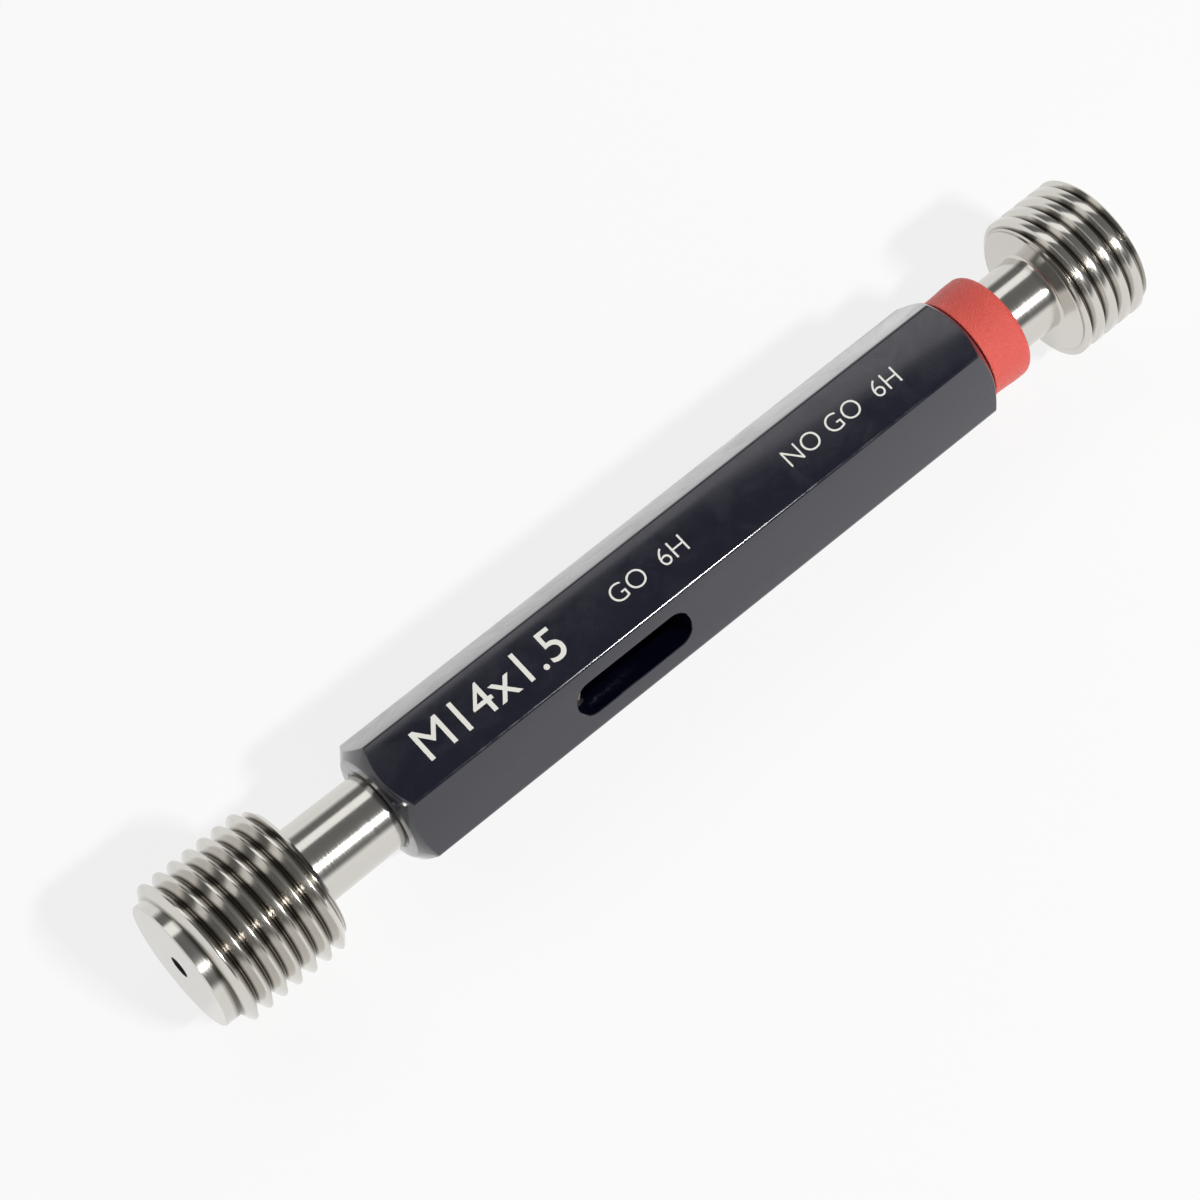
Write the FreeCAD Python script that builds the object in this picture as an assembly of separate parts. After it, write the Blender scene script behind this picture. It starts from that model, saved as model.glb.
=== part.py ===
import FreeCAD, Part
import math
import os

# Double-ended thread plug gauge for M14 x 1.5, taper-lock type.
# The gauge lies along X with the GO member at -X and the NO-GO member at +X.
# It rests on the crests of its two threads, so the GO thread touches Z = 0.
# The origin is below the middle of the overall length. All sizes are in mm.

# --- thread form shared by both members ---
THREAD_PITCH = 1.5
THREAD_ANGLE = 60.0            # included angle of the flanks
THREAD_CUTTER_CLEARANCE = 0.05 # the groove's cutter reaches this far past the crests

# --- GO member ---
GO_MAJOR_DIA = 14.0
GO_CREST_SHARE = 1 / 8         # flat on the crest, as a share of the pitch
GO_ROOT_SHARE = 1 / 16         # flat in the root
GO_LENGTH = 12.1               # front face to rear face
GO_FACE_EDGE = 0.12            # edge break on the front face
GO_REAR_BEVEL = 1.0            # 45 degree bevel behind the last thread
GO_LEAD_LENGTH = 0.52          # plain lead before the first thread
GO_LEAD_UNDERCUT = 0.04        # lead below the thread's root
GO_CREST_START = 1.46          # front face to the first crest, on the +Y side
GO_NECK = 8.4                  # shank seen between the member and the handle

# --- NO-GO member ---
NOGO_MAJOR_DIA = 13.4
NOGO_CREST_SHARE = 0.4         # the truncated thread has wide crests
NOGO_ROOT_SHARE = 0.1
NOGO_LENGTH = 7.2
NOGO_FACE_STEP = 0.15          # face boss standing proud of the first thread
NOGO_FACE_EDGE = 0.05          # edge break on the boss
NOGO_BOSS_UNDERCUT = 0.03      # boss below the root
NOGO_END_BEVEL = 0.35
NOGO_CREST_START = 0.98        # shank face to the first crest, on the +Y side
NOGO_NECK = 4.7                # shank seen between the member and the ring

# --- taper shanks, the same in both members ---
SHANK_DIA = 7.0                # at the mouth of the socket
TAPER = 1 / 50                 # change of diameter per length
SHANK_SEAT = 18.9              # length held in the handle
SHANK_TIP_BEVEL = 0.4
SHANK_ROOT_CONE = 0.28         # between the shank and the member's face
CENTRE_MOUTH_DIA = 2.0         # lathe centre in each member's outer face
CENTRE_DRILL_DIA = 1.0
CENTRE_DRILL_DEPTH = 2.4
CENTRE_ANGLE = 60.0

# --- handle ---
HANDLE_FLATS = 10.9
HANDLE_LENGTH = 63.5
HANDLE_CORNER_RADIUS = 0.4
HANDLE_FACE_DIA = 9.7          # flat annulus left inside each end chamfer
HANDLE_CHAMFER_ANGLE = 38.0    # measured from the end face
SOCKET_COUNTERSINK = 0.35
SOCKET_RUNOUT = 1.0            # reamed taper past the shank tip
SPIGOT_DIA = 8.4
SPIGOT_LENGTH = 4.1

# --- drift slots, one into each socket ---
SLOT_WIDTH = 3.2
SLOT_LENGTH = 12.1
SLOT_SETBACK = 17.1            # socket mouth to the near end of its slot
SLOT_ANGLE = 150.0             # flat beside the marked one, round from +Y
DRIFT_BORE_DIA = 6.4           # drilled past the taper, to the slot's far end
DRILL_POINT_ANGLE = 118.0

# --- NO-GO ring, pressed on the spigot ---
RING_LENGTH = 4.4
RING_DIA = 10.0
RING_WAIST_DEPTH = 0.1
RING_LIP_WIDTH = 0.3
RING_LIP_GROOVE = 0.15         # depth of the line behind the lip
RING_SHOULDER = 2.7            # handle to the widest part of the nose
RING_NOSE_RADIUS = 0.75

# --- places along the axis, from the handle's GO end face ---
GO_FRONT = -GO_NECK - GO_LENGTH
NOGO_MOUTH = HANDLE_LENGTH + SPIGOT_LENGTH
RING_FRONT = HANDLE_LENGTH + RING_LENGTH
NOGO_FACE = RING_FRONT + NOGO_NECK
NOGO_END = NOGO_FACE + NOGO_LENGTH
MIDDLE = (GO_FRONT + NOGO_END) / 2
AXIS_HEIGHT = max(GO_MAJOR_DIA, NOGO_MAJOR_DIA) / 2

ORIGIN = FreeCAD.Vector(0, 0, 0)
Z_AXIS = FreeCAD.Vector(0, 0, 1)


def tangent(degrees):
    return math.tan(math.radians(degrees))


def revolve(outline):
    """Solid turned about Z from a closed outline of (radius, height) corners.

    A corner of four numbers ends an arc that passes through its last two numbers.
    """
    edges = []
    last = FreeCAD.Vector(outline[-1][0], 0, outline[-1][1])
    for corner in outline:
        point = FreeCAD.Vector(corner[0], 0, corner[1])
        if len(corner) == 4:
            middle = FreeCAD.Vector(corner[2], 0, corner[3])
            edges.append(Part.Arc(last, middle, point).toShape())
        elif point.distanceToPoint(last) > 1e-6:
            edges.append(Part.makeLine(last, point))
        last = point
    return Part.Face(Part.Wire(edges)).revolve(ORIGIN, Z_AXIS, 360)


def taper_radius(depth):
    """Radius of a shank at a depth in its socket; a negative depth is outside it."""
    return (SHANK_DIA - TAPER * depth) / 2


def thread_depth(crest_share, root_share):
    """Height of a V thread between its root flat and its crest flat."""
    flank_width = THREAD_PITCH * (1 - crest_share - root_share) / 2
    return flank_width / tangent(THREAD_ANGLE / 2)


def helical_tool(outline, radius, start_height, length):
    """Right-handed sweep about Z of a closed outline of (radius, height) corners."""
    corners = [FreeCAD.Vector(corner_radius, 0, height) for corner_radius, height in outline]
    sweep = Part.BRepOffsetAPI.MakePipeShell(Part.makeHelix(THREAD_PITCH, length, radius))
    sweep.setFrenetMode(True)
    sweep.add(Part.makePolygon(corners + corners[:1]))
    sweep.build()
    sweep.makeSolid()
    tool = sweep.shape()
    tool.translate(Z_AXIS * start_height)
    return tool


def threaded_rod(crest, root, root_share, crest_height, start, end):
    """Rod about Z past start and end, with a thread whose crest passes over +X at a height."""
    overrun = 2 * THREAD_PITCH
    turns_before = math.ceil((crest_height - start + overrun) / THREAD_PITCH)
    groove_start = crest_height + THREAD_PITCH / 2 - turns_before * THREAD_PITCH
    rod_start = start - 2 * overrun
    rod = Part.makeCylinder(crest, end + 2 * overrun - rod_start, FreeCAD.Vector(0, 0, rod_start))
    half_root = THREAD_PITCH * root_share / 2
    clear = crest + THREAD_CUTTER_CLEARANCE
    half_mouth = half_root + (clear - root) * tangent(THREAD_ANGLE / 2)
    cutter = [(root, -half_root), (root, half_root), (clear, half_mouth), (clear, -half_mouth)]
    length = end + overrun - groove_start
    return rod.cut(helical_tool(cutter, root, groove_start, length))


def end_trim(crest_radius, bevel, end):
    """Space about Z beyond the end of a member, with the bevel across its last crest."""
    outside = crest_radius + THREAD_PITCH
    over = THREAD_PITCH / 8
    beyond = end + 5 * THREAD_PITCH
    return revolve([
        (0, end),
        (crest_radius - bevel, end),
        (crest_radius + over, end - bevel - over),
        (outside, end - bevel - over),
        (outside, beyond),
        (0, beyond),
    ])


def face_trim(crest_radius, face, boss_radius, boss_edge, boss_height):
    """Space about Z before a member's face, and round the plain boss that stands on it."""
    outside = crest_radius + THREAD_PITCH
    before = face - 5 * THREAD_PITCH
    return revolve([
        (0, before),
        (outside, before),
        (outside, face + boss_height),
        (boss_radius, face + boss_height),
        (boss_radius, face + boss_edge),
        (boss_radius - boss_edge, face),
        (0, face),
    ])


def centre_hole(height, inwards):
    """Lathe centre about Z: a conical mouth at height and a drilled pilot below it."""
    mouth = CENTRE_MOUTH_DIA / 2
    drill = CENTRE_DRILL_DIA / 2
    cone_end = height + inwards * (mouth - drill) / tangent(CENTRE_ANGLE / 2)
    drill_end = height + inwards * CENTRE_DRILL_DEPTH
    return revolve([(0, height), (mouth, height), (drill, cone_end), (drill, drill_end), (0, drill_end)])


def taper_shank(face, mouth, outwards):
    """Shank about Z from a member's face to its tip, with a small cone that stiffens its root."""
    tip = mouth - outwards * SHANK_SEAT
    root_radius = taper_radius((mouth - face) * outwards)
    tip_radius = taper_radius(SHANK_SEAT)
    return revolve([
        (0, face + outwards * SHANK_ROOT_CONE),
        (root_radius + SHANK_ROOT_CONE, face + outwards * SHANK_ROOT_CONE),
        (root_radius + SHANK_ROOT_CONE, face),
        (root_radius, face - outwards * SHANK_ROOT_CONE),
        (tip_radius, tip + outwards * SHANK_TIP_BEVEL),
        (tip_radius - SHANK_TIP_BEVEL, tip),
        (0, tip),
    ])


def make_go_plug():
    """GO member: plain lead, full-form thread and taper shank."""
    crest = GO_MAJOR_DIA / 2
    root = crest - thread_depth(GO_CREST_SHARE, GO_ROOT_SHARE)
    rear = GO_FRONT + GO_LENGTH
    first_crest = GO_FRONT + GO_CREST_START
    rod = threaded_rod(crest, root, GO_ROOT_SHARE, first_crest, GO_FRONT, rear)
    front = face_trim(crest, GO_FRONT, root - GO_LEAD_UNDERCUT, GO_FACE_EDGE, GO_LEAD_LENGTH)
    member = rod.cut(front).cut(end_trim(crest, GO_REAR_BEVEL, rear))
    plug = member.fuse(taper_shank(rear, 0, -1))
    return plug.cut(centre_hole(GO_FRONT, 1))


def make_nogo_plug():
    """NO-GO member: short truncated thread that runs out at both faces, and taper shank."""
    crest = NOGO_MAJOR_DIA / 2
    root = crest - thread_depth(NOGO_CREST_SHARE, NOGO_ROOT_SHARE)
    first_crest = NOGO_FACE + NOGO_CREST_START
    rod = threaded_rod(crest, root, NOGO_ROOT_SHARE, first_crest, NOGO_FACE, NOGO_END)
    boss = root - NOGO_BOSS_UNDERCUT
    member = rod.cut(face_trim(crest, NOGO_FACE, boss, NOGO_FACE_EDGE, NOGO_FACE_STEP))
    member = member.cut(end_trim(crest, NOGO_END_BEVEL, NOGO_END))
    plug = member.fuse(taper_shank(NOGO_FACE, NOGO_MOUTH, 1))
    return plug.cut(centre_hole(NOGO_END, -1))


def taper_socket(mouth, inwards):
    """Space about Z that is reamed and drilled into the handle from a mouth."""
    taper_end = SHANK_SEAT + SOCKET_RUNOUT
    drill = DRIFT_BORE_DIA / 2
    bore_end = SLOT_SETBACK + SLOT_LENGTH
    point_end = bore_end + drill / tangent(DRILL_POINT_ANGLE / 2)
    outline = [
        (0, 0),
        (taper_radius(0) + SOCKET_COUNTERSINK, 0),
        (taper_radius(SOCKET_COUNTERSINK), SOCKET_COUNTERSINK),
        (taper_radius(taper_end), taper_end),
        (drill, taper_end),
        (drill, bore_end),
        (0, point_end),
    ]
    return revolve([(radius, mouth + inwards * depth) for radius, depth in outline])


def drift_slot(mouth, inwards, angle):
    """Round-ended slot from the axis out through the flat that faces an angle."""
    reach = HANDLE_FLATS
    half = SLOT_WIDTH / 2
    near = mouth + inwards * SLOT_SETBACK
    far = near + inwards * SLOT_LENGTH
    low = min(near, far) + half
    high = max(near, far) - half
    slot = Part.makeBox(reach, SLOT_WIDTH, high - low, FreeCAD.Vector(0, -half, low))
    for end in (low, high):
        slot = slot.fuse(Part.makeCylinder(half, reach, FreeCAD.Vector(0, 0, end), FreeCAD.Vector(1, 0, 0)))
    slot.rotate(ORIGIN, Z_AXIS, angle)
    return slot


def make_handle():
    """Hexagon bar with turned ends, taper sockets, drift slots and the ring's spigot."""
    corner_radius = HANDLE_FLATS / math.sqrt(3)
    corners = []
    for number in range(7):
        turn = math.radians(60 * number)
        corners.append(FreeCAD.Vector(corner_radius * math.cos(turn), corner_radius * math.sin(turn), 0))
    bar = Part.Face(Part.makePolygon(corners)).extrude(Z_AXIS * HANDLE_LENGTH)
    long_edges = [edge for edge in bar.Edges if abs(edge.Length - HANDLE_LENGTH) < 1e-6]
    bar = bar.makeFillet(HANDLE_CORNER_RADIUS, long_edges)
    face = HANDLE_FACE_DIA / 2
    rim = corner_radius + 1
    rise = (rim - face) * tangent(HANDLE_CHAMFER_ANGLE)
    turned = revolve([
        (0, 0),
        (face, 0),
        (rim, rise),
        (rim, HANDLE_LENGTH - rise),
        (face, HANDLE_LENGTH),
        (SPIGOT_DIA / 2, HANDLE_LENGTH),
        (SPIGOT_DIA / 2, NOGO_MOUTH),
        (0, NOGO_MOUTH),
    ])
    spigot = Part.makeCylinder(SPIGOT_DIA / 2, NOGO_MOUTH)
    handle = bar.fuse(spigot).common(turned)
    handle = handle.cut(taper_socket(0, 1)).cut(taper_socket(NOGO_MOUTH, -1))
    handle = handle.cut(drift_slot(0, 1, SLOT_ANGLE))
    return handle.cut(drift_slot(NOGO_MOUTH, -1, SLOT_ANGLE + 180))


def make_nogo_ring():
    """Moulded ring with a thin lip, a slightly waisted band and a rounded nose."""
    bore = SPIGOT_DIA / 2
    outer = RING_DIA / 2
    lip_end = HANDLE_LENGTH + RING_LIP_WIDTH
    groove_end = lip_end + RING_LIP_WIDTH
    waist = outer - RING_WAIST_DEPTH
    shoulder = HANDLE_LENGTH + RING_SHOULDER
    nose_start = RING_FRONT - RING_NOSE_RADIUS
    nose_in = RING_NOSE_RADIUS * (1 - math.sqrt(0.5))
    return revolve([
        (bore, HANDLE_LENGTH),
        (outer, HANDLE_LENGTH),
        (outer, lip_end),
        (outer - RING_LIP_GROOVE, lip_end),
        (outer - RING_LIP_GROOVE, lip_end + RING_LIP_WIDTH / 3),
        (waist, groove_end),
        (outer, shoulder, waist + RING_WAIST_DEPTH / 4, (groove_end + shoulder) / 2),
        (outer, nose_start),
        (outer - RING_NOSE_RADIUS, RING_FRONT, outer - nose_in, RING_FRONT - nose_in),
        (bore, RING_FRONT),
    ])


def lay_down(shape):
    """Turn a shape built about Z so that its axis lies along X, and centre the gauge."""
    turned = shape.copy()
    turned.rotate(ORIGIN, FreeCAD.Vector(1, 1, 1), 120)
    turned.translate(FreeCAD.Vector(-MIDDLE, 0, AXIS_HEIGHT))
    return turned


PIECES = {
    "handle": make_handle,
    "go_plug": make_go_plug,
    "nogo_plug": make_nogo_plug,
    "nogo_ring": make_nogo_ring,
}

os.makedirs("parts", exist_ok=True)
for name, make in PIECES.items():
    piece = lay_down(make())
    piece.exportStep("parts/" + name + ".step")
    print(name, len(piece.Solids), piece.isValid(), round(piece.Volume, 2), piece.BoundBox)
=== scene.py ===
"""Thread plug gauge: finer pieces, finishes, marks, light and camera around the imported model."""

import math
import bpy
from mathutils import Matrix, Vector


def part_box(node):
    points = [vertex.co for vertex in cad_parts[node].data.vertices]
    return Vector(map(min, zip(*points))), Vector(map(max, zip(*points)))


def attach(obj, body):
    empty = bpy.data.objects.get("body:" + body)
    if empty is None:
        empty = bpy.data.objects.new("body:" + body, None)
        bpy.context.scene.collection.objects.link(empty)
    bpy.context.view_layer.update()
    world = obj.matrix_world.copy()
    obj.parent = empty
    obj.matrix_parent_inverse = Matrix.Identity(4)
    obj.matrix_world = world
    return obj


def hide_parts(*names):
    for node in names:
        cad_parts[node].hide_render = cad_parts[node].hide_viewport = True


bl_info = {
    "name": "Thread plug gauge",
    "version": (1, 0, 0),
    "blender": (4, 5, 0),
    "location": "View3D > Sidebar > Plug gauge",
    "description": "Dresses a taper-locked thread plug gauge and sets it on a pale studio floor",
    "category": "Object",
}

import bmesh
import bpy
from mathutils import Matrix, Vector

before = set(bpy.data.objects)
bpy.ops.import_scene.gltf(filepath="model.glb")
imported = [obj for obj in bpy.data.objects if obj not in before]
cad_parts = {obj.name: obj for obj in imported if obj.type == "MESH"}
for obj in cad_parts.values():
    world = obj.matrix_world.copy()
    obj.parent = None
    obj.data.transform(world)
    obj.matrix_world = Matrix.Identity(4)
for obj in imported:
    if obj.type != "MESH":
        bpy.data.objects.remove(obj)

MM = 0.001
FULL_TURN = 2 * math.pi

# Places along X, and heights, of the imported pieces.
GO_FRONT, GO_TIP = (corner.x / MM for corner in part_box("go_plug"))
NOGO_TIP, NOGO_END = (corner.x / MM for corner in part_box("nogo_plug"))
BAR_START, SPIGOT_END = (corner.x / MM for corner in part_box("handle"))
BAR_END, RING_FRONT = (corner.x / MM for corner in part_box("nogo_ring"))
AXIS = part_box("go_plug")[1].z / MM / 2
BAR_FLATS = (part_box("handle")[1].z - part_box("handle")[0].z) / MM

# Sizes that more than one piece shares.
SPIN_STEPS = 192  # facets round a turned piece, and steps in each turn of a thread
SIDE_OF_60 = math.tan(math.radians(60 / 2))  # slope of each side of a 60 degree angle
TAPER = 50  # a shank's length over its change of diameter, as in 1:50
SPIGOT_RADIUS = 4.2
SLOT_SETBACK = 17.1  # from a socket's mouth to the near end of its drift slot
CENTRE_MOUTH = 1.0
CENTRE_PILOT = 0.5
CENTRE_DEPTH = 2.4
UNGROUND_LENGTH = 1.6  # end of a shank that the grinding wheel doesn't reach

# Crest and root flats, as shares of the pitch.
GO_CREST, GO_ROOT = 1 / 8, 1 / 16
NOGO_CREST, NOGO_ROOT = 0.4, 0.1
OVERSIZE = 0.3  # how far a turned blank stands past the crests that it leaves whole


def length_property(name, description, millimetres):
    """A length that a user can change, in millimetres."""
    return bpy.props.FloatProperty(
        name=name, description=description, default=millimetres, min=0.0,
    )


def angle_property(name, description, degrees):
    """An angle that a user can change, from its default in degrees."""
    return bpy.props.FloatProperty(
        name=name, description=description, default=math.radians(degrees), subtype="ANGLE",
    )


def colour_property(name, description, code):
    """A colour that a user can change, from its sRGB hex code."""
    return bpy.props.FloatVectorProperty(
        name=name, description=description, default=colour(code)[:3],
        size=3, subtype="COLOR", min=0.0, max=1.0,
    )


def colour(code):
    """Linear RGBA of an sRGB hex code."""
    channels = []
    for start in (1, 3, 5):
        value = int(code[start:start + 2], 16) / 255
        channels.append(value / 12.92 if value <= 0.04045 else ((value + 0.055) / 1.055) ** 2.4)
    return (*channels, 1.0)


class GaugeThreadSizes(bpy.types.PropertyGroup):
    """Sizes of the two threads and their shanks, in millimetres."""

    pitch: length_property("Pitch", "Pitch of both threads", 1.5)
    go_diameter: length_property("GO diameter", "Across the GO thread's crests", 14.0)
    go_length: length_property("GO length", "Front face to rear face of the GO member", 12.1)
    nogo_diameter: length_property("NO-GO diameter", "Across the NO-GO thread's crests", 13.4)
    nogo_length: length_property("NO-GO length", "Face to face of the NO-GO member", 7.2)
    shank_diameter: length_property("Shank diameter", "Taper shank at the mouth of its socket", 7.0)


class GaugeHandleSizes(bpy.types.PropertyGroup):
    """Sizes of the hexagon handle, in millimetres."""

    corner_radius: length_property("Corner radius", "Rounding along the bar's six long edges", 0.4)
    face_diameter: length_property("End face", "Flat face that the end chamfer leaves", 9.7)
    slot_width: length_property("Slot width", "Width of each drift slot", 3.2)
    slot_length: length_property("Slot length", "End to end length of each drift slot", 12.1)
    edge_break: length_property("Edge break", "Small rounding on the bar's cut edges", 0.07)


class GaugeColours(bpy.types.PropertyGroup):
    """Colours of the finishes."""

    anodised: colour_property("Anodised bar", "Dyed anodised skin of the handle", "#090b20")
    steel: colour_property("Gauge steel", "Ground and lapped tool steel", "#d4d1cb")
    collar: colour_property("Collar", "Coral red moulding of the NO-GO collar", "#e65a4f")
    marks: colour_property("Marks", "Frosted metal left by the marking laser", "#f1f0e8")


class GaugeView(bpy.types.PropertyGroup):
    """Where the camera stands."""

    azimuth: angle_property("Azimuth", "Turn about the vertical", -45.0)
    elevation: angle_property("Elevation", "Angle above the floor", 65.9)
    roll: angle_property("Roll", "Turn about the line of sight", 4.13)
    distance: length_property("Distance", "From the aim point to the lens, in millimetres", 344.7)
    focal_length: length_property("Lens", "Focal length on a 36 mm wide sensor", 126.0)


# --- modelling helpers: sizes go in as millimetres, meshes come out in metres ---


def new_piece(name, mesh_maker):
    """Object at the origin whose mesh comes from a bmesh in millimetres."""
    mesh = bpy.data.meshes.new(name)
    mesh_maker.transform(Matrix.Scale(MM, 4))
    mesh_maker.to_mesh(mesh)
    mesh_maker.free()
    piece = bpy.data.objects.new(name, mesh)
    bpy.context.collection.objects.link(piece)
    return piece


def outline_loop(bm, outline, closed):
    """Wire of (along the axis, radius) corners in the upright plane through the gauge's axis."""
    corners = [bm.verts.new((along, 0, AXIS + radius)) for along, radius in outline]
    edges = [bm.edges.new(pair) for pair in zip(corners, corners[1:])]
    if closed:
        edges.append(bm.edges.new((corners[-1], corners[0])))
    return corners + edges


def face_outwards(bm):
    """Merges what meets and points every face out of its closed shell."""
    meeting = 1e-4
    bmesh.ops.remove_doubles(bm, verts=bm.verts, dist=meeting)
    bmesh.ops.recalc_face_normals(bm, faces=bm.faces)
    if bm.calc_volume(signed=True) < 0:
        bmesh.ops.reverse_faces(bm, faces=bm.faces)


def turned(name, outline, closed=False):
    """Solid of revolution about the gauge's axis.

    Its outline starts and ends on the axis, or is closed around a ring's section.
    """
    bm = bmesh.new()
    geometry = outline_loop(bm, outline, closed)
    bmesh.ops.spin(
        bm, geom=geometry, cent=(0, 0, AXIS), axis=(1, 0, 0), dvec=(0, 0, 0),
        angle=FULL_TURN, steps=SPIN_STEPS,
        use_merge=True, use_normal_flip=False, use_duplicate=False,
    )
    face_outwards(bm)
    return new_piece(name, bm)


def coil(name, section, turns, start_degrees, pitch):
    """Right-handed helical ridge of a closed section, which advances a pitch each turn.

    It starts at an angle from the +Y side towards the top.
    """
    steps = round(SPIN_STEPS * turns)
    bm = bmesh.new()
    geometry = outline_loop(bm, section, closed=True)
    bmesh.ops.spin(
        bm, geom=geometry, cent=(0, 0, AXIS), axis=(1, 0, 0), dvec=(pitch / SPIN_STEPS, 0, 0),
        angle=FULL_TURN * steps / SPIN_STEPS, steps=steps,
        use_merge=False, use_normal_flip=False, use_duplicate=False,
    )
    bmesh.ops.holes_fill(bm, edges=[edge for edge in bm.edges if edge.is_boundary], sides=0)
    face_outwards(bm)
    turn = Matrix.Rotation(math.radians(start_degrees - 90), 3, "X")
    bmesh.ops.rotate(bm, cent=(0, 0, AXIS), matrix=turn, verts=bm.verts)
    return new_piece(name, bm)


def settle(piece):
    """Keeps what the piece's modifiers make as its own mesh."""
    shaped = piece.evaluated_get(bpy.context.evaluated_depsgraph_get())
    mesh = bpy.data.meshes.new_from_object(shaped)
    piece.modifiers.clear()
    piece.data = mesh


def carve(piece, tool, operation):
    """Joins, cuts or intersects a piece with a tool solid, which is then removed."""
    modifier = piece.modifiers.new("Carve", "BOOLEAN")
    modifier.operation = operation
    modifier.solver = "MANIFOLD"
    modifier.object = tool
    settle(piece)
    bpy.data.objects.remove(tool)


def soften(piece, width, sharper_than=25.0):
    """Rounds every edge of a piece whose faces meet at more than an angle in degrees."""
    meeting = 2e-4
    bm = bmesh.new()
    bm.from_mesh(piece.data)
    bmesh.ops.remove_doubles(bm, verts=bm.verts, dist=meeting * MM)
    limit = math.radians(sharper_than)
    edges = [
        edge for edge in bm.edges
        if len(edge.link_faces) == 2 and edge.calc_face_angle() > limit
    ]
    bmesh.ops.bevel(
        bm, geom=edges, offset=width * MM, offset_type="OFFSET", affect="EDGES",
        segments=2, profile=0.5, material=-1, clamp_overlap=False,
    )
    bm.to_mesh(piece.data)
    bm.free()


def shade(piece, sharp_degrees=30.0):
    """Smooth shading with creases kept where faces meet at more than an angle."""
    for face in piece.data.polygons:
        face.use_smooth = True
    piece.data.set_sharp_from_angle(angle=math.radians(sharp_degrees))


def finish(piece, material, slot, *nodes):
    """Gives a piece its material, unless it has its own, and ties it to the frame."""
    if material:
        piece.data.materials.clear()
        piece.data.materials.append(material)
    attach(piece, "root")
    if nodes:
        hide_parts(*nodes)


# --- materials ---


def add_node(tree, kind, inputs=None, **settings):
    """Adds a node with its settings, and sets or links its inputs."""
    node = tree.nodes.new(kind)
    for name, value in settings.items():
        setattr(node, name, value)
    for name, value in (inputs or {}).items():
        if isinstance(value, bpy.types.NodeSocket):
            tree.links.new(value, node.inputs[name])
        else:
            node.inputs[name].default_value = value
    return node


def new_material(name):
    """Material with an empty tree but for its shader and its output."""
    material = bpy.data.materials.new(name)
    material.use_nodes = True
    tree = material.node_tree
    tree.nodes.clear()
    shader = add_node(tree, "ShaderNodeBsdfPrincipled")
    add_node(tree, "ShaderNodeOutputMaterial", {"Surface": shader.outputs["BSDF"]})
    return material, tree, shader


def axis_coordinates(tree):
    """Object coordinates in millimetres from the gauge's axis."""
    place = add_node(tree, "ShaderNodeTexCoord").outputs["Object"]
    mapping = add_node(tree, "ShaderNodeMapping", {
        "Vector": place, "Location": (0, 0, -AXIS), "Scale": (1 / MM, 1 / MM, 1 / MM),
    })
    return mapping.outputs["Vector"]


def ground_steel():
    """Hardened tool steel, ground between centres and lapped.

    The grinding marks run round the axis, so highlights break into fine hoops along it.
    Each thread's root is painted browner and darker, as painted shade where the deep grooves fall
    in shadow.
    """
    material, tree, shader = new_material("ground_gauge_steel")
    shader.inputs["Metallic"].default_value = 1.0
    place = axis_coordinates(tree)
    parts = add_node(tree, "ShaderNodeSeparateXYZ", {"Vector": place})
    across = add_node(tree, "ShaderNodeCombineXYZ", {
        "Y": parts.outputs["Y"], "Z": parts.outputs["Z"],
    })
    radius = add_node(tree, "ShaderNodeVectorMath", {
        "Vector": across.outputs["Vector"],
    }, operation="LENGTH")
    unrolled = add_node(tree, "ShaderNodeCombineXYZ", {
        "X": parts.outputs["X"], "Y": radius.outputs["Value"],
    })
    grit_size = 0.06  # real grit leaves marks of about 0.01 mm, too fine to show
    grit = add_node(tree, "ShaderNodeTexNoise", {
        "Vector": unrolled.outputs["Vector"], "Scale": 1 / grit_size,
        "Detail": 3.0, "Roughness": 0.6,
    })
    bump = add_node(tree, "ShaderNodeBump", {
        "Height": grit.outputs["Fac"], "Strength": 0.16, "Distance": 0.02 * MM,
    })
    tree.links.new(bump.outputs["Normal"], shader.inputs["Normal"])
    gloss = add_node(tree, "ShaderNodeMapRange", {
        "Value": grit.outputs["Fac"],
        "From Min": 0.3, "From Max": 0.7, "To Min": 0.1, "To Max": 0.2,
    })
    tree.links.new(gloss.outputs["Result"], shader.inputs["Roughness"])
    sizes = bpy.context.scene.gauge_threads
    rear = GO_FRONT + sizes.go_length
    face = NOGO_END - sizes.nogo_length
    # From, to and root radius of each stretch of thread whose root gets painted shade.
    go_root_shade, nogo_root_shade = (
        painted_root_shade(tree, parts.outputs["X"], radius.outputs["Value"], *stretch)
        for stretch in (
            (GO_FRONT + 1.0, rear - 0.4, sizes.go_diameter / 2 - 1.05),
            (face + 0.3, NOGO_END - 0.3, sizes.nogo_diameter / 2 - 0.65),
        )
    )
    painted_shade_share = add_node(tree, "ShaderNodeMath", {
        0: go_root_shade, 1: nogo_root_shade,
    }, operation="ADD", use_clamp=True)
    # Painted shade: the steel darkens to brown-grey #6a645c at each thread's root, where the
    # grooves fall in shadow.
    steel_with_painted_shade = add_node(tree, "ShaderNodeMix", {
        "Factor": painted_shade_share.outputs[0],
        6: (*bpy.context.scene.gauge_colours.steel, 1), 7: colour("#6a645c"),
    }, data_type="RGBA")
    tree.links.new(steel_with_painted_shade.outputs[2], shader.inputs["Base Color"])
    return material


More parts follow.
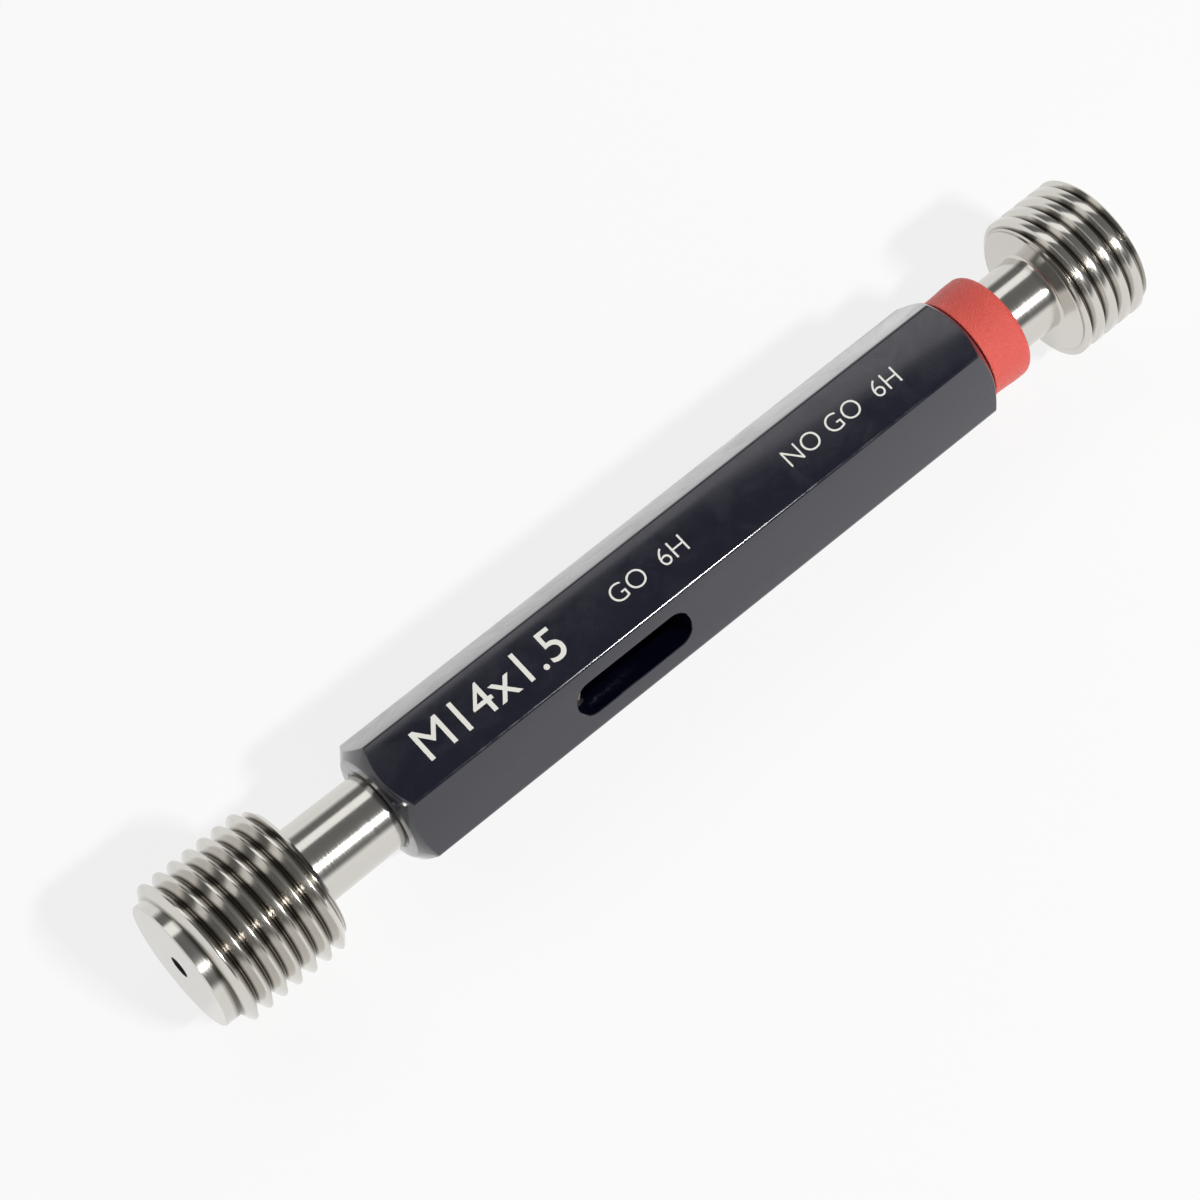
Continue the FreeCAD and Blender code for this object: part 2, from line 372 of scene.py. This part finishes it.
def painted_root_shade(tree, along, radius, start, end, root):
    """Share of the painted shade: 1 at the root of a stretch of thread, 0 up its flanks and beside
    it.
    """
    up_the_flank = 0.35
    fade = 0.2
    middle = (start + end) / 2
    half_length = (end - start) / 2
    depth = add_node(tree, "ShaderNodeMapRange", {
        "Value": radius, "From Min": root, "From Max": root + up_the_flank,
        "To Min": 1.0, "To Max": 0.0,
    }, interpolation_type="SMOOTHSTEP")
    offset = add_node(tree, "ShaderNodeMath", {0: along, 1: middle}, operation="SUBTRACT")
    reach = add_node(tree, "ShaderNodeMath", {0: offset.outputs[0]}, operation="ABSOLUTE")
    inside = add_node(tree, "ShaderNodeMapRange", {
        "Value": reach.outputs[0], "From Min": half_length - fade, "From Max": half_length + fade,
        "To Min": 1.0, "To Max": 0.0,
    })
    share = add_node(tree, "ShaderNodeMath", {
        0: depth.outputs[0], 1: inside.outputs[0],
    }, operation="MULTIPLY")
    return share.outputs[0]


def hardening_scale():
    """Oxide left by hardening where the grinding wheel never reaches: matt and nearly black."""
    material, tree, shader = new_material("hardening_scale")
    shader.inputs["Base Color"].default_value = colour("#171412")
    shader.inputs["Roughness"].default_value = 0.75
    return material


def unground_tip():
    """Turned steel left as hardened and bead blasted: matt, brownish and dull."""
    material, tree, shader = new_material("unground_shank_tip")
    shader.inputs["Base Color"].default_value = colour("#b5aa98")
    shader.inputs["Metallic"].default_value = 0.5
    shader.inputs["Roughness"].default_value = 0.6
    return material


def anodised_aluminium():
    """Drawn aluminium bar, polished and dyed black: a clear hard skin over a dark ground.

    Handling leaves faint smears that dull the gloss.
    """
    material, tree, shader = new_material("black_anodised_aluminium")
    shader.inputs["Base Color"].default_value = (*bpy.context.scene.gauge_colours.anodised, 1)
    shader.inputs["IOR"].default_value = 1.5
    shader.inputs["Coat Weight"].default_value = 1.0
    shader.inputs["Coat IOR"].default_value = 1.5
    shader.inputs["Coat Roughness"].default_value = 0.1
    smear_size = 4.0
    smear = add_node(tree, "ShaderNodeTexNoise", {
        "Vector": axis_coordinates(tree), "Scale": 1 / smear_size,
        "Detail": 4.0, "Roughness": 0.6, "Distortion": 1.5,
    })
    gloss = add_node(tree, "ShaderNodeMapRange", {
        "Value": smear.outputs["Fac"],
        "From Min": 0.35, "From Max": 0.7, "To Min": 0.12, "To Max": 0.34,
    })
    tree.links.new(gloss.outputs["Result"], shader.inputs["Roughness"])
    return material


def coral_plastic():
    """Moulded plastic with a fine spark-eroded grain, which glitters where light grazes it."""
    material, tree, shader = new_material("coral_moulded_plastic")
    shader.inputs["Base Color"].default_value = (*bpy.context.scene.gauge_colours.collar, 1)
    shader.inputs["Roughness"].default_value = 0.42
    grain_size = 0.18
    grain_depth = 0.14
    grain = add_node(tree, "ShaderNodeTexNoise", {
        "Vector": axis_coordinates(tree), "Scale": 1 / grain_size, "Detail": 2.0, "Roughness": 0.7,
    })
    bump = add_node(tree, "ShaderNodeBump", {
        "Height": grain.outputs["Fac"], "Strength": 1.0, "Distance": grain_depth * MM,
    })
    tree.links.new(bump.outputs["Normal"], shader.inputs["Normal"])
    return material


def frosted_mark():
    """Metal bared and frosted by a marking laser: matt and nearly white."""
    material, tree, shader = new_material("laser_frosted_mark")
    shader.inputs["Base Color"].default_value = (*bpy.context.scene.gauge_colours.marks, 1)
    shader.inputs["Roughness"].default_value = 0.7
    return material


# --- pieces ---


def root_radius(crest, pitch, crest_share, root_share):
    """Radius at a thread's root, from its crest's and its flats' shares of the pitch."""
    return crest - (pitch * (1 - crest_share - root_share) / 2) / SIDE_OF_60


def thread_section(root, crest, crest_flat):
    """Closed outline of a ridge: a 60 degree V with a flat crest, its foot sunk in the core."""
    rounding = 0.02
    sunk = root - 0.1
    half_foot = crest_flat / 2 + (crest - sunk) * SIDE_OF_60
    half_crest = crest_flat / 2
    shoulder = rounding * SIDE_OF_60
    return [
        (-half_foot, sunk),
        (-half_crest - shoulder, crest - rounding),
        (-half_crest, crest - rounding * 0.25),
        (-half_crest + rounding * 0.6, crest),
        (half_crest - rounding * 0.6, crest),
        (half_crest, crest - rounding * 0.25),
        (half_crest + shoulder, crest - rounding),
        (half_foot, sunk),
    ]


def shank_outline(face, mouth, tip, outwards, shank_diameter):
    """Outline of a taper shank from inside its member to its tip, with a fillet at the face."""
    fillet = 0.28
    fillet_steps = 4
    tip_bevel = 0.4

    def radius_at(along):
        return (shank_diameter - 1 / TAPER * (along - mouth) * outwards) / 2

    corners = [(face - outwards, 0.0), (face - outwards, radius_at(face) + fillet)]
    for step in range(fillet_steps + 1):
        swing = math.radians(90 * step / fillet_steps)
        along = face + outwards * fillet * (1 - math.cos(swing))
        corners.append((along, radius_at(face) + fillet * (1 - math.sin(swing))))
    ground_end = tip - outwards * UNGROUND_LENGTH
    corners.append((ground_end, radius_at(ground_end)))
    corners.append((tip - outwards * tip_bevel, radius_at(tip)))
    corners.append((tip, radius_at(tip) - tip_bevel))
    corners.append((tip, 0.0))
    return corners


def centre_hole(face, inwards):
    """Cutter for a lathe centre: a 60 degree mouth and a drilled pilot."""
    bottom = face + inwards * CENTRE_DEPTH
    return turned("centre_drill", [
        (face - inwards, 0.0),
        (face - inwards, CENTRE_MOUTH + SIDE_OF_60),
        (face + inwards * (CENTRE_MOUTH - CENTRE_PILOT) / SIDE_OF_60, CENTRE_PILOT),
        (bottom, CENTRE_PILOT),
        (bottom, 0.0),
    ])


def drill_centre(piece, face, tip, inwards):
    """Cuts a lathe centre, with the dark scale of hardening in it, and leaves the tip unground."""
    clear = 0.01
    carve(piece, centre_hole(face, inwards), "DIFFERENCE")
    piece.data.materials.clear()
    for name in ("ground_gauge_steel", "hardening_scale", "unground_shank_tip"):
        piece.data.materials.append(bpy.data.materials[name])
    for polygon in piece.data.polygons:
        middle = polygon.center / MM
        deep = (middle.x - face) * inwards
        radius = math.hypot(middle.y, middle.z - AXIS)
        if clear < deep < CENTRE_DEPTH + clear and radius < CENTRE_MOUTH + clear:
            polygon.material_index = 1
        elif abs(middle.x - tip) < UNGROUND_LENGTH - clear:
            polygon.material_index = 2


class GAUGE_OT_go_plug(bpy.types.Operator):
    """Turn the GO member, cut its full-form thread and give it a taper shank"""

    bl_idname = "gauge.go_plug"
    bl_label = "GO plug"

    def execute(self, context):
        sizes = context.scene.gauge_threads
        crest = sizes.go_diameter / 2
        root = root_radius(crest, sizes.pitch, GO_CREST, GO_ROOT)
        rear = GO_FRONT + sizes.go_length
        rear_bevel = 1.3
        rear_bevel_depth = 1.0
        front_bevel = 0.12
        overrun = 2
        blunt_start = -50.0  # degrees from the +Y side, where the first ridge is cut off square
        first_crest = 1.46  # from the front face to the first crest on the +Y side
        section = [
            (GO_FRONT + first_crest + sizes.pitch * blunt_start / 360 + along, radius)
            for along, radius in thread_section(root, crest, sizes.pitch * GO_CREST)
        ]
        turns = sizes.go_length / sizes.pitch
        piece = turned("go_thread_core", [
            (GO_FRONT, 0.0), (GO_FRONT, root), (rear + overrun, root), (rear + overrun, 0.0),
        ])
        carve(piece, coil("go_ridge", section, turns, blunt_start, sizes.pitch), "UNION")
        blank = turned("go_blank", [
            (GO_FRONT, 0.0),
            (GO_FRONT, root - front_bevel),
            (GO_FRONT + front_bevel, root),
            (GO_FRONT + front_bevel + 0.01, crest + OVERSIZE),
            (rear - rear_bevel, crest + OVERSIZE),
            (rear, crest - rear_bevel_depth),
            (rear, 0.0),
        ])
        carve(piece, blank, "INTERSECT")
        outline = shank_outline(rear, BAR_START, GO_TIP, 1, sizes.shank_diameter)
        carve(piece, turned("go_shank", outline), "UNION")
        drill_centre(piece, GO_FRONT, GO_TIP, 1)
        piece.name = "go_plug_turned"
        shade(piece)
        finish(piece, None, "gauge_steel", "go_plug")
        return {"FINISHED"}


class GAUGE_OT_nogo_plug(bpy.types.Operator):
    """Turn the NO-GO member with its short truncated thread and taper shank"""

    bl_idname = "gauge.nogo_plug"
    bl_label = "NO-GO plug"

    def execute(self, context):
        sizes = context.scene.gauge_threads
        crest = sizes.nogo_diameter / 2
        root = root_radius(crest, sizes.pitch, NOGO_CREST, NOGO_ROOT)
        face = NOGO_END - sizes.nogo_length
        rim = 0.15
        rim_bevel = 0.05
        rim_drop = 0.03
        end_bevel = 0.65
        end_bevel_depth = 0.35
        overrun = 2
        first_crest = 0.98  # from the face to the first crest on the +Y side
        turns_before = 2
        section = [
            (face + first_crest - turns_before * sizes.pitch + along, radius)
            for along, radius in thread_section(root, crest, sizes.pitch * NOGO_CREST)
        ]
        turns = sizes.nogo_length / sizes.pitch + turns_before + 1
        piece = turned("nogo_thread_core", [
            (face - overrun, 0.0),
            (face - overrun, root),
            (NOGO_END + overrun, root),
            (NOGO_END + overrun, 0.0),
        ])
        carve(piece, coil("nogo_ridge", section, turns, 0.0, sizes.pitch), "UNION")
        blank = turned("nogo_blank", [
            (face, 0.0),
            (face, root - (rim_drop + rim_bevel)),
            (face + rim_bevel, root - rim_drop),
            (face + rim, root - rim_drop),
            (face + rim, crest + OVERSIZE),
            (NOGO_END - end_bevel, crest + OVERSIZE),
            (NOGO_END, crest - end_bevel_depth),
            (NOGO_END, 0.0),
        ])
        carve(piece, blank, "INTERSECT")
        outline = shank_outline(face, SPIGOT_END, NOGO_TIP, -1, sizes.shank_diameter)
        carve(piece, turned("nogo_shank", outline), "UNION")
        drill_centre(piece, NOGO_END, NOGO_TIP, -1)
        piece.name = "nogo_plug_turned"
        shade(piece)
        finish(piece, None, "gauge_steel", "nogo_plug")
        return {"FINISHED"}


class GAUGE_OT_handle(bpy.types.Operator):
    """Finish the anodised hexagon handle"""

    bl_idname = "gauge.handle"
    bl_label = "Handle"

    def execute(self, context):
        sizes = context.scene.gauge_bar
        piece = hexagon_bar(BAR_START, BAR_END, BAR_FLATS, sizes.corner_radius)
        chamfer_angle = 38
        face = sizes.face_diameter / 2
        rim = BAR_FLATS / math.sqrt(3) + 1
        rise = (rim - face) * math.tan(math.radians(chamfer_angle))
        envelope = turned("bar_envelope", [
            (BAR_START, 0.0), (BAR_START, face), (BAR_START + rise, rim),
            (BAR_END - rise, rim), (BAR_END, face), (BAR_END, 0.0),
        ])
        carve(piece, envelope, "INTERSECT")
        soften(piece, sizes.edge_break)
        carve(piece, turned("ring_spigot", [
            (BAR_END - 1, 0.0),
            (BAR_END - 1, SPIGOT_RADIUS),
            (SPIGOT_END, SPIGOT_RADIUS),
            (SPIGOT_END, 0.0),
        ]), "UNION")
        radius = context.scene.gauge_threads.shank_diameter / 2
        # The slots' flats are opposite, at angles from the +Y side towards the top.
        for mouth, inwards, side in ((BAR_START, 1, 150.0), (SPIGOT_END, -1, 330.0)):
            carve(piece, taper_socket(mouth, inwards, radius, sizes.slot_length), "DIFFERENCE")
            carve(piece, drift_slot(mouth, inwards, side, sizes), "DIFFERENCE")
        piece.name = "handle_bar"
        shade(piece)
        finish(piece, bpy.data.materials["black_anodised_aluminium"], "black_anodised", "handle")
        return {"FINISHED"}


def hexagon_bar(start, end, flats, corner_radius):
    """Drawn hexagon bar along the axis, with one corner on the +Y side."""
    bm = bmesh.new()
    bmesh.ops.create_circle(bm, cap_ends=True, segments=6, radius=flats / math.sqrt(3))
    upright = Matrix.Rotation(math.radians(90), 3, "Y")
    bmesh.ops.rotate(bm, cent=(0, 0, 0), matrix=upright, verts=bm.verts)
    bmesh.ops.translate(bm, vec=(start, 0, AXIS), verts=bm.verts)
    drawn = bmesh.ops.extrude_face_region(bm, geom=bm.faces[:])["geom"]
    far = [item for item in drawn if isinstance(item, bmesh.types.BMVert)]
    bmesh.ops.translate(bm, vec=(end - start, 0, 0), verts=far)
    bmesh.ops.holes_fill(bm, edges=[edge for edge in bm.edges if edge.is_boundary], sides=0)
    face_outwards(bm)
    long_edges = [edge for edge in bm.edges if abs(edge.verts[0].co.x - edge.verts[1].co.x) > 1]
    setback = corner_radius * SIDE_OF_60  # the flats turn 60 degrees at a corner
    bmesh.ops.bevel(
        bm, geom=long_edges, offset=setback, offset_type="OFFSET",
        affect="EDGES", segments=6, profile=0.5, material=-1, clamp_overlap=True,
    )
    return new_piece("hexagon_bar", bm)


def taper_socket(mouth, inwards, radius, slot_length):
    """Cutter for a reamed taper, its countersunk mouth and the bore drilled past it."""
    outside = 0.5
    countersink = 0.35
    taper_end = 19.9  # 18.9 of seat and 1 of run-out
    drill = 3.2
    drill_point = 118
    bore_end = SLOT_SETBACK + slot_length
    point_end = bore_end + drill / math.tan(math.radians(drill_point / 2))
    return turned("socket_reamer", [
        (mouth - inwards * outside, 0.0),
        (mouth - inwards * outside, radius + countersink + outside),
        (mouth + inwards * countersink, radius - countersink / (2 * TAPER)),
        (mouth + inwards * taper_end, radius - taper_end / (2 * TAPER)),
        (mouth + inwards * taper_end, drill),
        (mouth + inwards * bore_end, drill),
        (mouth + inwards * point_end, 0.0),
    ])


def drift_slot(mouth, inwards, side, sizes):
    """Cutter for a round-ended slot from the axis out through one flat, with a fine edge break."""
    segments = 48
    outside = 1
    half_run = (sizes.slot_length - sizes.slot_width) / 2
    middle = mouth + inwards * (SLOT_SETBACK + sizes.slot_length / 2)
    half_width = sizes.slot_width / 2
    surface = BAR_FLATS / 2
    bm = bmesh.new()
    bmesh.ops.create_circle(bm, cap_ends=False, segments=segments, radius=half_width)
    half_step = Matrix.Rotation(math.pi / segments, 3, "Z")
    bmesh.ops.rotate(bm, cent=(0, 0, 0), matrix=half_step, verts=bm.verts)
    for vert in bm.verts:
        vert.co.x += math.copysign(half_run, vert.co.x)
    rim = bm.edges[:]
    flare = 1 + (outside + sizes.edge_break) / half_width
    for rise, spread in ((surface - sizes.edge_break, 1.0), (surface + outside, flare)):
        drawn = bmesh.ops.extrude_edge_only(bm, edges=rim)["geom"]
        outer = [item for item in drawn if isinstance(item, bmesh.types.BMVert)]
        rim = [edge for edge in bm.edges if edge.verts[0] in outer and edge.verts[1] in outer]
        for vert in outer:
            centre = math.copysign(half_run, vert.co.x)
            vert.co = (centre + (vert.co.x - centre) * spread, vert.co.y * spread, rise)
    bmesh.ops.holes_fill(bm, edges=[edge for edge in bm.edges if edge.is_boundary], sides=0)
    face_outwards(bm)
    turn = Matrix.Rotation(math.radians(side - 90), 3, "X")
    bmesh.ops.rotate(bm, cent=(0, 0, 0), matrix=turn, verts=bm.verts)
    bmesh.ops.translate(bm, vec=(middle, 0, AXIS), verts=bm.verts)
    return new_piece("slot_cutter", bm)


class GAUGE_OT_collar(bpy.types.Operator):
    """Finish the coral collar that marks the NO-GO end"""

    bl_idname = "gauge.collar"
    bl_label = "NO-GO collar"

    def execute(self, context):
        outer = 5.0
        waist = 0.1
        lip = 0.3
        lip_bevel = 0.04
        back_bevel = 0.05
        groove = 0.06
        shoulder = BAR_END + 2.7
        nose = 0.75
        steps = 8
        band_start = BAR_END + 2 * lip
        outline = [
            (BAR_END, SPIGOT_RADIUS),
            (BAR_END, outer - back_bevel),
            (BAR_END + back_bevel, outer),
            (BAR_END + lip - lip_bevel, outer),
            (BAR_END + lip, outer - lip_bevel),
            (BAR_END + lip, outer - groove),
            (BAR_END + lip * 4 / 3, outer - groove),
        ]
        for step in range(steps + 1):
            share = step / steps
            along = band_start + (shoulder - band_start) * share
            outline.append((along, outer - waist * math.cos(share * math.pi / 2)))
        for step in range(steps + 1):
            swing = math.radians(90 * step / steps)
            along = RING_FRONT - nose + nose * math.sin(swing)
            outline.append((along, outer - nose + nose * math.cos(swing)))
        outline.append((RING_FRONT, SPIGOT_RADIUS))
        piece = turned("nogo_collar", outline, closed=True)
        shade(piece, 35.0)
        finish(piece, bpy.data.materials["coral_moulded_plastic"], "red_plastic", "nogo_ring")
        return {"FINISHED"}


class GAUGE_OT_marks(bpy.types.Operator):
    """Mark the thread size on the handle's upper flat"""

    bl_idname = "gauge.marks"
    bl_label = "Marks"

    def execute(self, context):
        top = AXIS + BAR_FLATS / 2
        half_thickness = 0.004
        em = 1.4  # type size over the height of its capitals
        # Start from the bar's GO end, height of a capital, and what each side of a stroke gains.
        for name, words, start, height, weight in (
            ("size_mark", "M14x1.5", 4.2, 3.1, 0.0),
            ("go_mark", "GO  6H", 24.5, 1.75, -0.03),
            ("nogo_mark", "NO GO  6H", 43.5, 1.75, -0.03),
        ):
            lettering = bpy.data.curves.new(name, "FONT")
            lettering.body = words
            lettering.size = height * em * MM
            lettering.offset = weight * MM
            lettering.extrude = half_thickness * MM
            lettering.align_y = "CENTER"
            text = bpy.data.objects.new(name, lettering)
            bpy.context.collection.objects.link(text)
            shaped = text.evaluated_get(context.evaluated_depsgraph_get())
            mesh = bpy.data.meshes.new_from_object(shaped)
            bpy.data.objects.remove(text)
            place = Vector((BAR_START + start, 0, top + half_thickness))
            mesh.transform(Matrix.Translation(place * MM))
            mark = bpy.data.objects.new(name, mesh)
            bpy.context.collection.objects.link(mark)
            finish(mark, bpy.data.materials["laser_frosted_mark"], "gauge_steel")
        return {"FINISHED"}


class GAUGE_OT_stage(bpy.types.Operator):
    """Set the floor, the lights and the camera"""

    bl_idname = "gauge.stage"
    bl_label = "Studio"

    def execute(self, context):
        add_floor()
        add_world()
        add_lamps()
        add_camera(context.scene.gauge_view)
        context.scene.view_settings.view_transform = "Standard"
        return {"FINISHED"}


def add_floor():
    """White paper, which shows to the lens and in reflections as mostly plain white."""
    plain_white = 0.8
    bm = bmesh.new()
    bmesh.ops.create_grid(bm, x_segments=1, y_segments=1, size=3000.0)
    floor = new_piece("studio_floor", bm)
    material, tree, shader = new_material("matt_white_paper")
    shader.inputs["Base Color"].default_value = colour("#f6f6f5")
    shader.inputs["Roughness"].default_value = 0.9
    rays = add_node(tree, "ShaderNodeLightPath")
    seen = add_node(tree, "ShaderNodeMath", {
        0: rays.outputs["Is Camera Ray"], 1: rays.outputs["Is Glossy Ray"],
    }, operation="ADD")
    seen = add_node(tree, "ShaderNodeMath", {
        0: seen.outputs[0], 1: rays.outputs["Is Transmission Ray"],
    }, operation="ADD", use_clamp=True)
    share = add_node(tree, "ShaderNodeMath", {
        0: seen.outputs[0], 1: plain_white,
    }, operation="MULTIPLY")
    white = add_node(tree, "ShaderNodeEmission", {"Color": (1, 1, 1, 1), "Strength": 1.0})
    mix = add_node(tree, "ShaderNodeMixShader", {
        0: share.outputs[0], 1: shader.outputs["BSDF"], 2: white.outputs["Emission"],
    })
    output = next(node for node in tree.nodes if node.type == "OUTPUT_MATERIAL")
    tree.links.new(mix.outputs["Shader"], output.inputs["Surface"])
    floor.data.materials.append(material)


def add_world():
    """White at the horizon and dim overhead, like a pale room with a dark ceiling.

    It dims between two heights of the view's direction, as shares of straight up.
    """
    world = bpy.data.worlds.new("soft_studio")
    bpy.context.scene.world = world
    world.use_nodes = True
    tree = world.node_tree
    tree.nodes.clear()
    way = add_node(tree, "ShaderNodeTexCoord").outputs["Generated"]
    height = add_node(tree, "ShaderNodeSeparateXYZ", {"Vector": way}).outputs["Z"]
    level = add_node(tree, "ShaderNodeMapRange", {
        "Value": height, "From Min": 0.1, "From Max": 0.36, "To Min": 1.0, "To Max": 0.16,
    }, interpolation_type="SMOOTHSTEP")
    dome = add_node(tree, "ShaderNodeBackground", {
        "Color": (1, 1, 1, 1), "Strength": level.outputs["Result"],
    })
    add_node(tree, "ShaderNodeOutputWorld", {"Surface": dome.outputs["Background"]})


def add_lamps():
    """A slim key lamp, which throws the shadows, and a broad softbox behind the gauge."""
    middle = Vector((0, 0, AXIS)) * MM
    # Angles in degrees, distance and size in metres, and power in watts.
    for name, azimuth, elevation, distance, width, length, power in (
        ("key_lamp", 25.0, 48.5, 0.9, 0.035, 0.17, 5.6),
        ("overhead_softbox", 170.0, 53.0, 0.7, 0.28, 1.2, 1.1),
    ):
        lamp = bpy.data.lights.new(name, "AREA")
        lamp.shape = "RECTANGLE"
        lamp.size = length
        lamp.size_y = width
        lamp.energy = power
        light = bpy.data.objects.new(name, lamp)
        bpy.context.collection.objects.link(light)
        outwards = direction(math.radians(azimuth), math.radians(elevation))
        light.location = middle + outwards * distance
        light.rotation_euler = outwards.to_track_quat("Z", "Y").to_euler()


def direction(azimuth, elevation):
    """Unit vector from the gauge to a point at an azimuth, 0 being -Y, and an elevation."""
    level = math.cos(elevation)
    return Vector((math.sin(azimuth) * level, -math.cos(azimuth) * level, math.sin(elevation)))


def add_camera(view):
    """Lens aimed a little past the gauge's middle, towards the GO end and the far side."""
    aim = Vector((-4.07, 2.29, AXIS)) * MM
    camera = bpy.data.objects.new("studio_camera", bpy.data.cameras.new("studio_camera"))
    bpy.context.collection.objects.link(camera)
    back = direction(view.azimuth, view.elevation)
    right = Vector((math.cos(view.azimuth), math.sin(view.azimuth), 0))
    up = back.cross(right)
    turn = Matrix((right, up, back)).transposed() @ Matrix.Rotation(view.roll, 3, "Z")
    camera.matrix_world = Matrix.Translation(aim + back * view.distance * MM) @ turn.to_4x4()
    camera.data.lens = view.focal_length
    camera.data.sensor_width = 36.0
    camera.data.clip_start = 0.01
    bpy.context.scene.camera = camera


class GAUGE_PT_panel(bpy.types.Panel):
    """Lists the gauge's pieces and sizes"""

    bl_label = "Plug gauge"
    bl_idname = "GAUGE_PT_panel"
    bl_space_type = "VIEW_3D"
    bl_region_type = "UI"
    bl_category = "Plug gauge"

    def draw(self, context):
        for operator in OPERATORS:
            self.layout.operator(operator.bl_idname)
        for group in GROUPS:
            settings = getattr(context.scene, group)
            for name in settings.__annotations__:
                self.layout.prop(settings, name)


GROUPS = {
    "gauge_threads": GaugeThreadSizes,
    "gauge_bar": GaugeHandleSizes,
    "gauge_colours": GaugeColours,
    "gauge_view": GaugeView,
}
OPERATORS = (
    GAUGE_OT_handle,
    GAUGE_OT_go_plug,
    GAUGE_OT_nogo_plug,
    GAUGE_OT_collar,
    GAUGE_OT_marks,
    GAUGE_OT_stage,
)


def register():
    for group, settings in GROUPS.items():
        bpy.utils.register_class(settings)
        setattr(bpy.types.Scene, group, bpy.props.PointerProperty(type=settings))
    for operator in OPERATORS:
        bpy.utils.register_class(operator)
    bpy.utils.register_class(GAUGE_PT_panel)


def unregister():
    bpy.utils.unregister_class(GAUGE_PT_panel)
    for operator in reversed(OPERATORS):
        bpy.utils.unregister_class(operator)
    for group, settings in GROUPS.items():
        delattr(bpy.types.Scene, group)
        bpy.utils.unregister_class(settings)


def main():
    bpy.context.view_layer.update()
    register()
    ground_steel()
    hardening_scale()
    unground_tip()
    anodised_aluminium()
    coral_plastic()
    frosted_mark()
    bpy.ops.gauge.handle()
    bpy.ops.gauge.go_plug()
    bpy.ops.gauge.nogo_plug()
    bpy.ops.gauge.collar()
    bpy.ops.gauge.marks()
    bpy.ops.gauge.stage()


if __name__ == "__main__":
    main()
